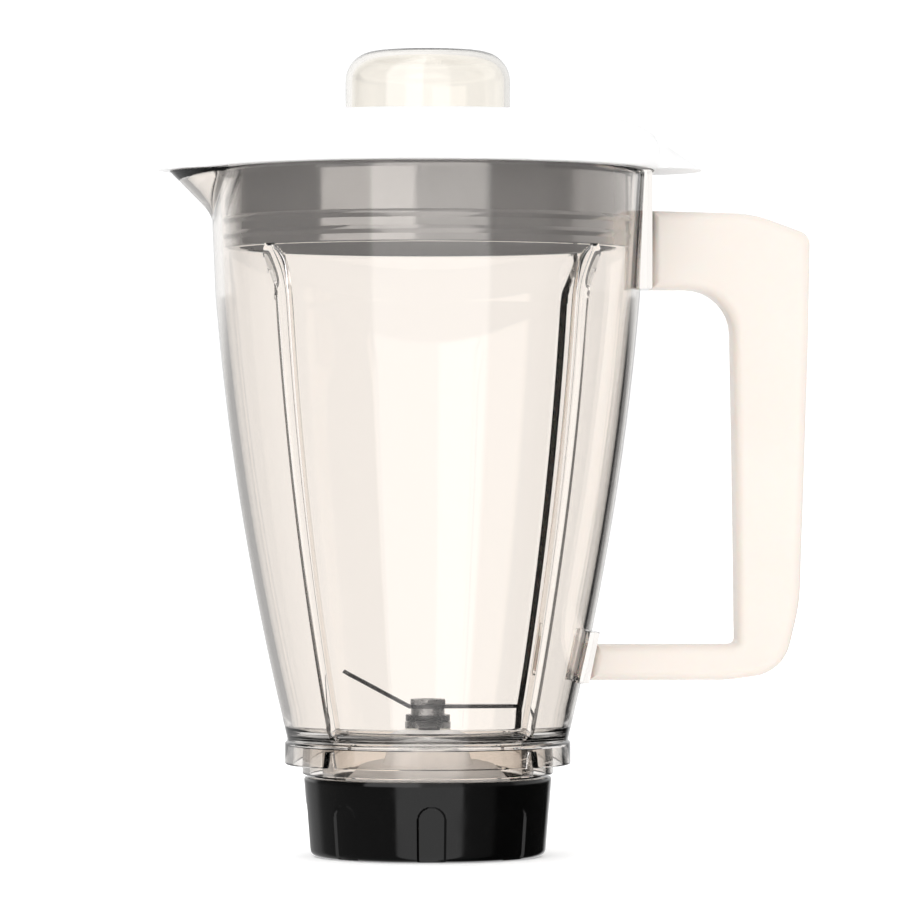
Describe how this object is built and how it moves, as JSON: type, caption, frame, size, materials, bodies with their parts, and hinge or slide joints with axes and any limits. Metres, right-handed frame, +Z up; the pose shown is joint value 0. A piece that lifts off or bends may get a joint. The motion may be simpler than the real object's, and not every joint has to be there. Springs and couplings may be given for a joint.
{
  "type": "countertop blender jar assembly",
  "caption": "Clear blender jar with a pouring spout and side handle, domed lid with a measuring cap, and a blade unit clamped under the jar by a screw collar.",
  "frame": {"origin": "on the jar's axis, in the plane of the collar's lower edge, on which the assembly stands", "axes": "+Z up along the jar's axis, +X towards the handle, -X towards the spout"},
  "size_m": [0.217, 0.158, 0.2678],
  "materials": {
    "jar": "clear moulded styrene plastic, polished, faintly warm",
    "handle": "warm cream, slightly translucent, polished",
    "lid": "white, smooth satin",
    "cap": "clear, polished",
    "gasket": "grey silicone, matt",
    "collar": "black, fine satin",
    "holder": "light grey, satin",
    "steel": "ground stainless steel",
    "bronze": "sintered bronze, oiled",
    "seal": "black rubber, matt",
    "washer": "natural low-friction plastic",
    "coupling": "black glass-filled plastic, matt"
  },
  "bodies": {
    "jar": {"jar": "jar", "handle": "handle"},
    "lid": {"lid": "lid", "lid_gasket": "gasket"},
    "cap": {"measuring_cap": "cap"},
    "blade_unit": {"blade_holder": "holder", "jar_seal": "gasket", "upper_bush": "bronze", "lower_bush": "bronze", "shaft_seal": "seal"},
    "collar": {"collar": "collar"},
    "cutter": {"blade_shaft": "steel", "thrust_washer": "washer", "blade_hub": "steel", "lower_blade": "steel", "blade_spacer": "steel", "upper_blade": "steel", "blade_nut": "steel", "lower_washer": "steel", "shaft_clip": "steel", "coupling_insert": "bronze", "drive_coupling": "coupling"}
  },
  "joints": [
    {"name": "lid_lift", "type": "slide", "parent": "jar", "child": "lid", "axis": [0, 0, 1], "range_m": [0, 0.06]},
    {"name": "cap_lift", "type": "slide", "parent": "lid", "child": "cap", "axis": [0, 0, 1], "range_m": [0, 0.04]},
    {"name": "blade_unit_drop", "type": "slide", "parent": "jar", "child": "blade_unit", "axis": [0, 0, -1], "range_m": [0, 0.0034]},
    {"name": "collar_turn", "type": "hinge", "parent": "blade_unit", "child": "collar", "pos_m": [0, 0, 0.0133], "axis": [0, 0, -1], "range_deg": [0, 50]},
    {"name": "blade_spin", "type": "hinge", "parent": "blade_unit", "child": "cutter", "pos_m": [0, 0, 0.036], "axis": [0, 0, 1], "continuous": true}
  ],
  "couplings": [
    {"joint": "blade_unit_drop", "follows": "collar_turn", "m_per_rad": 0.0038197}
  ]
}
